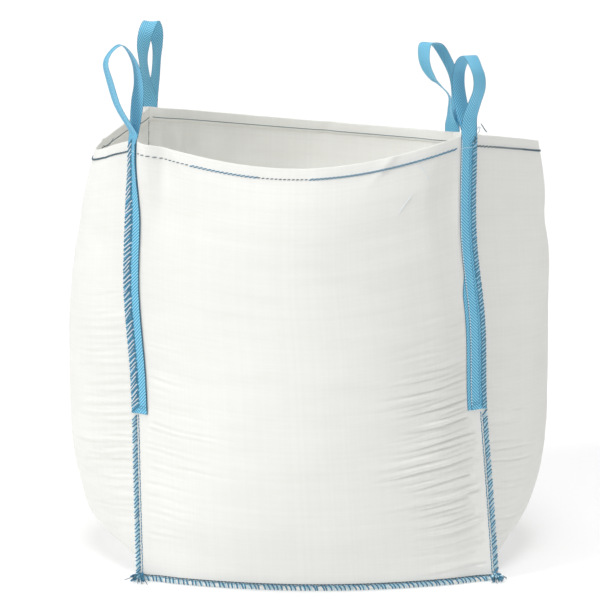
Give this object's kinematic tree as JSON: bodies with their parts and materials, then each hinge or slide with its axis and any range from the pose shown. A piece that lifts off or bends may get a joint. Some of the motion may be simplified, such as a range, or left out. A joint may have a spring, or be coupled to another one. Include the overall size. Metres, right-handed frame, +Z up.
{
  "type": "bulk bag",
  "caption": "Open-top woven fabric bulk bag, bulging as when filled, with overlocked corner seams and webbing lifting loops that fold at the rim.",
  "frame": {"origin": "centre of the base on the floor", "axes": "+Z up, -Y towards the front of the bag, +X to the right seen from the front"},
  "size_m": [1.1268, 1.1266, 1.2092],
  "materials": {
    "white_fabric": "woven tape, slight sheen",
    "blue_webbing": "herringbone weave, slight sheen",
    "blue_thread": "spun thread, matte"
  },
  "bodies": {
    "bag": {"base_panel": "white_fabric", "panel_front": "white_fabric", "panel_right": "white_fabric", "panel_back": "white_fabric", "panel_left": "white_fabric", "hem_stitch_front": "blue_thread", "hem_stitch_right": "blue_thread", "hem_stitch_back": "blue_thread", "hem_stitch_left": "blue_thread", "base_overlock_front": "blue_thread", "base_overlock_right": "blue_thread", "base_overlock_back": "blue_thread", "base_overlock_left": "blue_thread", "corner_overlock_front_left": "blue_thread", "corner_overlock_front_right": "blue_thread", "corner_overlock_back_right": "blue_thread", "corner_overlock_back_left": "blue_thread", "strap_tail_inner_front_left": "blue_webbing", "strap_tail_inner_front_right": "blue_webbing", "strap_tail_inner_back_right": "blue_webbing", "strap_tail_inner_back_left": "blue_webbing", "strap_tail_outer_front_left": "blue_webbing", "strap_tail_outer_front_right": "blue_webbing", "strap_tail_outer_back_right": "blue_webbing", "strap_tail_outer_back_left": "blue_webbing", "strap_stitching_front_left": "blue_thread", "strap_stitching_front_right": "blue_thread", "strap_stitching_back_right": "blue_thread", "strap_stitching_back_left": "blue_thread", "thread_tail_front_left": "blue_thread", "thread_tail_front_right": "blue_thread", "thread_tail_back_right": "blue_thread", "thread_tail_back_left": "blue_thread"},
    "loop_front_left": {"loop_front_left": "blue_webbing"},
    "loop_front_right": {"loop_front_right": "blue_webbing"},
    "loop_back_right": {"loop_back_right": "blue_webbing"},
    "loop_back_left": {"loop_back_left": "blue_webbing"}
  },
  "joints": [
    {"name": "front_left_loop_fold", "type": "hinge", "parent": "bag", "child": "loop_front_left", "pos_m": [-0.38709, -0.38423, 1.0045], "axis": [0.9703, -0.2419, 0], "range_deg": [-75, 105]},
    {"name": "front_right_loop_fold", "type": "hinge", "parent": "bag", "child": "loop_front_right", "pos_m": [0.35209, -0.38423, 1.0145], "axis": [0.9703, 0.2419, 0], "range_deg": [-75, 105]},
    {"name": "back_right_loop_fold", "type": "hinge", "parent": "bag", "child": "loop_back_right", "pos_m": [0.35209, 0.38423, 0.9325], "axis": [-0.9703, 0.2419, 0], "range_deg": [-75, 105]},
    {"name": "back_left_loop_fold", "type": "hinge", "parent": "bag", "child": "loop_back_left", "pos_m": [-0.38709, 0.38423, 0.9945], "axis": [-0.9703, -0.2419, 0], "range_deg": [-75, 105]}
  ]
}
